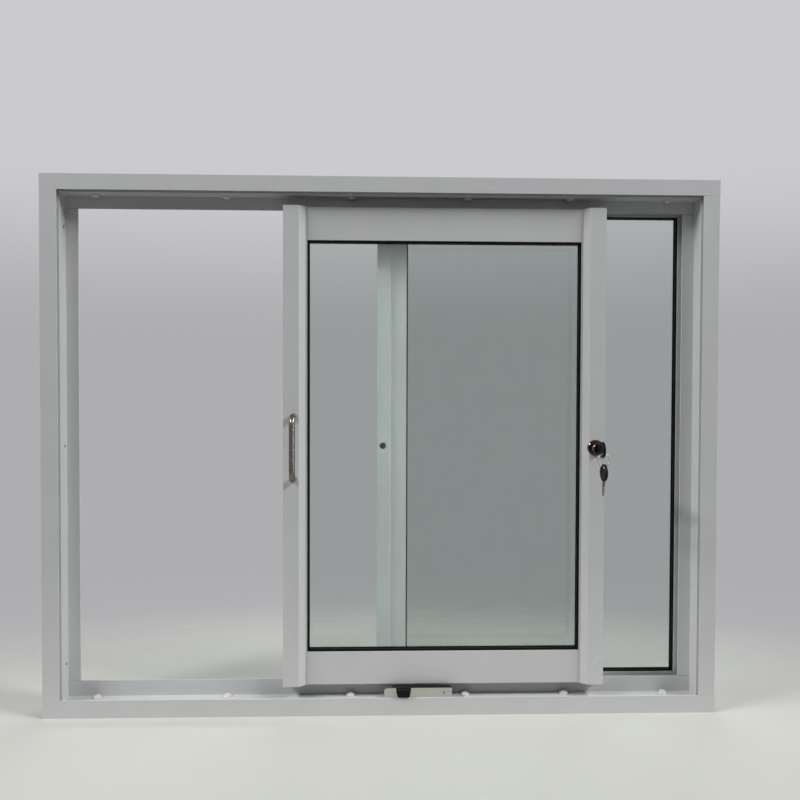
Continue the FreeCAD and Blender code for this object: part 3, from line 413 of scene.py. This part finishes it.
def pale_floor():
    mesh = bpy.data.meshes.new("floor")
    shape = bmesh.new()
    bmesh.ops.create_grid(shape, x_segments=1, y_segments=1, size=FLOOR_HALF_WIDTH)
    shape.to_mesh(mesh)
    shape.free()
    floor = bpy.data.objects.new("floor", mesh)
    scene.collection.objects.link(floor)
    material, tree, place = start_material("pale_painted_floor")
    oval = add_node(tree, "ShaderNodeVectorMath", {1: FADE_OVAL}, {0: place}, operation="MULTIPLY")
    away = add_node(
        tree, "ShaderNodeVectorMath", None, {0: oval.outputs["Vector"]}, operation="LENGTH"
    )
    fade = add_node(
        tree, "ShaderNodeMapRange",
        {"From Min": FADE_START, "From Max": FADE_END},
        {"Value": away.outputs["Value"]},
        interpolation_type="SMOOTHSTEP",
    )
    paint = add_node(
        tree, "ShaderNodeBsdfPrincipled",
        {"Base Color": linear(FLOOR), "Roughness": FLOOR_ROUGHNESS},
    )
    gone = add_node(tree, "ShaderNodeBsdfTransparent")
    mix = add_node(
        tree, "ShaderNodeMixShader", None,
        {0: fade.outputs["Result"], 1: paint.outputs["BSDF"], 2: gone.outputs["BSDF"]},
    )
    end_material(tree, mix.outputs["Shader"])
    mesh.materials.append(material)


pale_floor()
print("laid the floor")

# %% [markdown]
# ## Light
#
# The head throws a shadow down both jambs that drops 60 mm over the 30 mm to the fin. Seen from the
# side, the main light comes from 63 degrees above the horizon. The inner sides of both jambs are
# also brighter than their faces, so it comes from the left and the right and hardly from the middle.
# Two broad lamps high at the sides do both. A tall, thin strip at the right gives no light of its
# own to the faces and only draws the bright line down the handle's rod, and a weak lamp behind
# keeps the rear readable. The world fills the rest: it lights at a low level, while the eye, the
# glass and the metal see it at the backdrop's own colour. One flat colour would do, but this one is
# the floor's colour where the eye looks down, darker at the level of the eye and paler again above.
# The darker band at eye level is painted shade, as of a backdrop standing in shadow. Each of its
# stops is a height, from -1 straight down to 1 straight up, with the colour seen there.

# %% Lamps and world
world = bpy.data.worlds.new("studio")
world.use_nodes = True
scene.world = world
WORLD_LIGHT = 0.12
WORLD_COLOUR = "#E8E8E8"
# The two darker middle stops, at eye level, are painted shade. The lowest stop is near the floor's
# colour and the top one is pale.
BACKDROP_WITH_PAINTED_SHADE = ((-0.48, "#CDCFC9"), (-0.22, "#AEAEB1"), (0.05, "#AEAEB1"), (0.26, "#CBCBCF"))


def studio_world(tree):
    tree.nodes.clear()
    path = add_node(tree, "ShaderNodeLightPath")
    lit = add_node(
        tree, "ShaderNodeBackground", {"Color": linear(WORLD_COLOUR), "Strength": WORLD_LIGHT}
    )
    direction = add_node(tree, "ShaderNodeTexCoord").outputs["Generated"]
    climb = add_node(tree, "ShaderNodeSeparateXYZ", None, {0: direction}).outputs["Z"]
    share = add_node(
        tree, "ShaderNodeMapRange", {"From Min": -1.0, "From Max": 1.0}, {"Value": climb}
    )
    ramp = add_node(tree, "ShaderNodeValToRGB", None, {"Fac": share.outputs["Result"]})
    stops = ramp.color_ramp.elements
    while len(stops) < len(BACKDROP_WITH_PAINTED_SHADE):
        stops.new(1.0)
    for stop, (height, colour) in zip(stops, BACKDROP_WITH_PAINTED_SHADE):
        stop.position = (height + 1) / 2
        stop.color = linear(colour)
    ramp.color_ramp.interpolation = "EASE"
    seen = add_node(
        tree, "ShaderNodeBackground", {"Strength": 1.0}, {"Color": ramp.outputs["Color"]}
    )
    sight = path.outputs["Is Camera Ray"]
    for kind in ("Is Glossy Ray", "Is Transmission Ray"):
        either = add_node(
            tree, "ShaderNodeMath", None, {0: sight, 1: path.outputs[kind]}, operation="MAXIMUM"
        )
        sight = either.outputs["Value"]
    mix = add_node(
        tree, "ShaderNodeMixShader", None,
        {0: sight, 1: lit.outputs["Background"], 2: seen.outputs["Background"]},
    )
    add_node(tree, "ShaderNodeOutputWorld", links={"Surface": mix.outputs["Shader"]})


def soft_lamp(name, place, target, width, height, watts):
    light = bpy.data.lights.new(name, "AREA")
    light.shape = "RECTANGLE"
    light.size = width
    light.size_y = height
    light.energy = watts
    lamp = bpy.data.objects.new(name, light)
    lamp.location = place
    aim = Vector(target) - Vector(place)
    lamp.rotation_euler = aim.to_track_quat("-Z", "Y").to_euler()
    lamp.visible_camera = False
    lamp.visible_transmission = False
    scene.collection.objects.link(lamp)
    return lamp


middle = (0, 0, 0.4)
studio_world(world.node_tree)
soft_lamp("right_lamp", (3.0, -1.2, 2.8), middle, width=1.6, height=0.4, watts=120)
soft_lamp("left_lamp", (-3.0, -1.2, 2.8), middle, width=1.6, height=0.4, watts=108)
side_strip = soft_lamp("side_strip", (3.3, -2.0, 0.7), middle, width=0.15, height=1.8, watts=32)
side_strip.visible_diffuse = False
back_lamp = soft_lamp("back_lamp", (0.6, 2.6, 2.2), middle, width=2.4, height=0.8, watts=30)
back_lamp.visible_glossy = False
scene.view_settings.view_transform = "Standard"
print("lit with", len(bpy.data.lights), "lamps")
